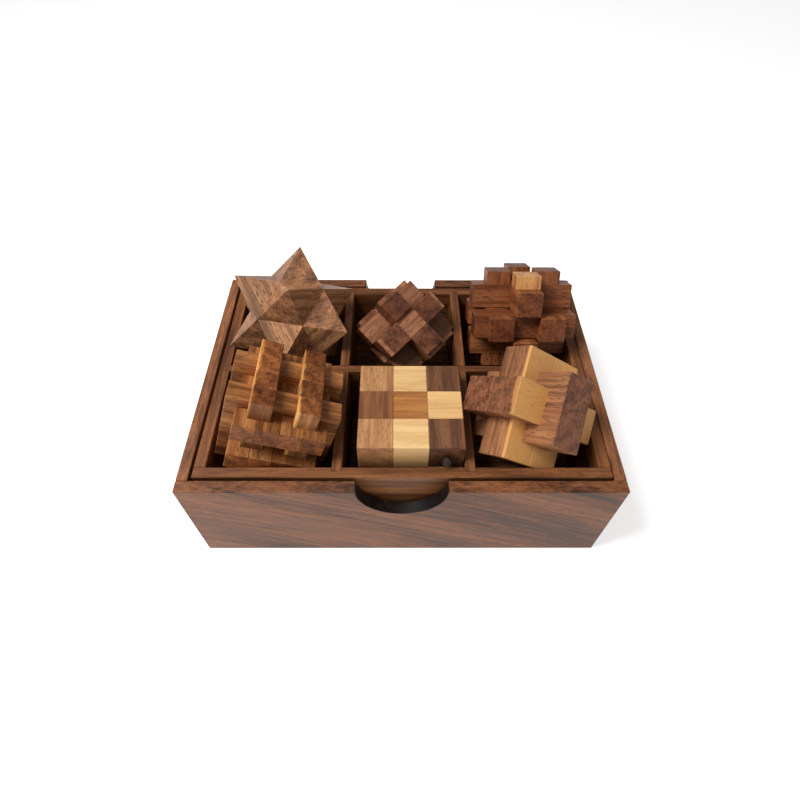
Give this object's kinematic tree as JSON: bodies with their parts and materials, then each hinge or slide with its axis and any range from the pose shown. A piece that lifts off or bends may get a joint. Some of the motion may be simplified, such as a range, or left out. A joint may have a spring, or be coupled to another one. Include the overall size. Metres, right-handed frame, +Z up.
{
  "type": "wooden burr puzzle set",
  "caption": "Open wooden case with a lift-out compartment tray holding assorted take-apart burr puzzles, a pointed star and a folded elastic snake cube.",
  "frame": {"origin": "centre of the case underside, on the surface it stands on", "axes": "+X along the long front board, +Y towards the rear board, +Z up"},
  "size_m": [0.27, 0.192, 0.1368],
  "materials": {
    "case_board": "oiled hardwood, brown with dark flecks",
    "case_floor_board": "plain hardwood board",
    "tray_board": "oiled hardwood rails",
    "elastic": "shiny dark elastic",
    "tan_wood": "tan hardwood, satin",
    "pale_wood": "pale close-grained wood, satin",
    "dark_wood": "dark brown hardwood with open pores",
    "star_wood": "brown hardwood with open pores",
    "turned_wood": "reddish-brown hardwood",
    "golden_wood": "golden straight-grained wood",
    "plus_wood": "warm orange-brown hardwood",
    "grid_wood": "orange-brown hardwood",
    "cross_wood": "brown hardwood with pale sapwood"
  },
  "bodies": {
    "case": {"case_floor": "case_floor_board", "case_front": "case_board", "case_left": "case_board", "case_rear": "case_board", "case_right": "case_board"},
    "tray": {"tray_cross_divider": "tray_board", "tray_divider_left": "tray_board", "tray_divider_right": "tray_board", "tray_floor": "tray_board", "tray_front": "tray_board", "tray_left": "tray_board", "tray_rear": "tray_board", "tray_right": "tray_board"},
    "star_lower": {"star_x_low": "star_wood", "star_y_low": "star_wood", "star_z_low": "star_wood"},
    "star_upper": {"star_x_high": "star_wood", "star_y_high": "star_wood", "star_z_high": "star_wood"},
    "turned_burr": {"turned_x_y": "turned_wood", "turned_x_z": "turned_wood", "turned_y_x": "turned_wood", "turned_y_z": "turned_wood", "turned_z_x": "turned_wood", "turned_z_y": "turned_wood"},
    "turned_key": {"turned_key": "turned_wood"},
    "plus_burr": {"plus_x_y_high": "plus_wood", "plus_x_y_low": "plus_wood", "plus_x_z_high": "plus_wood", "plus_x_z_low": "plus_wood", "plus_y_x_high": "plus_wood", "plus_y_x_low": "plus_wood", "plus_y_z_high": "plus_wood", "plus_y_z_low": "plus_wood", "plus_z_x_high": "plus_wood", "plus_z_x_low": "plus_wood", "plus_z_y_high": "plus_wood"},
    "plus_key": {"plus_key": "golden_wood"},
    "grid_burr": {"grid_x_high": "grid_wood", "grid_x_low": "grid_wood", "grid_y_high": "grid_wood", "grid_y_low": "grid_wood", "grid_z_high": "grid_wood", "grid_z_low": "grid_wood"},
    "grid_key": {"grid_key": "grid_wood"},
    "cross_burr": {"cross_x_bar": "cross_wood", "cross_y_high": "cross_wood", "cross_y_low": "cross_wood", "cross_z_high": "cross_wood", "cross_z_low": "cross_wood"},
    "cross_key": {"cross_key": "cross_wood"},
    "snake_cube": {"snake_cord": "elastic", "snake_left": "tan_wood", "snake_middle": "pale_wood", "snake_right": "dark_wood"},
    "snake_end_row": {"snake_cord_end": "elastic", "snake_end_dark": "dark_wood", "snake_end_pale": "pale_wood"}
  },
  "joints": [
    {"name": "tray_lift", "type": "slide", "parent": "case", "child": "tray", "axis": [0, 0, 1], "range_m": [0, 0.08]},
    {"name": "star_lift", "type": "slide", "parent": "tray", "child": "star_lower", "axis": [0, 0.158, 0.9874], "range_m": [0, 0.06]},
    {"name": "turned_lift", "type": "slide", "parent": "tray", "child": "turned_burr", "axis": [0, 0, 1], "range_m": [0, 0.08]},
    {"name": "plus_lift", "type": "slide", "parent": "tray", "child": "plus_burr", "axis": [0, 0, 1], "range_m": [0, 0.06]},
    {"name": "grid_lift", "type": "slide", "parent": "tray", "child": "grid_burr", "axis": [0, 0, 1], "range_m": [0, 0.06]},
    {"name": "cross_lift", "type": "slide", "parent": "tray", "child": "cross_burr", "axis": [0, 0, 1], "range_m": [0, 0.06]},
    {"name": "snake_lift", "type": "slide", "parent": "tray", "child": "snake_cube", "axis": [0, 0, 1], "range_m": [0, 0.08]},
    {"name": "star_halves", "type": "slide", "parent": "star_lower", "child": "star_upper", "axis": [-0.1762, 0.0768, 0.9813], "range_m": [0, 0.04]},
    {"name": "turned_key_slide", "type": "slide", "parent": "turned_burr", "child": "turned_key", "axis": [0.1822, -0.5541, 0.8123], "range_m": [0, 0.06]},
    {"name": "plus_key_slide", "type": "slide", "parent": "plus_burr", "child": "plus_key", "axis": [0, 0.4695, 0.8829], "range_m": [0, 0.07]},
    {"name": "grid_key_slide", "type": "slide", "parent": "grid_burr", "child": "grid_key", "axis": [-0.9415, -0.0003, 0.3371], "range_m": [0, 0.06]},
    {"name": "cross_key_slide", "type": "slide", "parent": "cross_burr", "child": "cross_key", "axis": [0.5384, -0.5512, 0.6374], "range_m": [0, 0.06]},
    {"name": "snake_row_stretch", "type": "slide", "parent": "snake_cube", "child": "snake_end_row", "axis": [0, 0, 1], "range_m": [0, 0.012]}
  ]
}
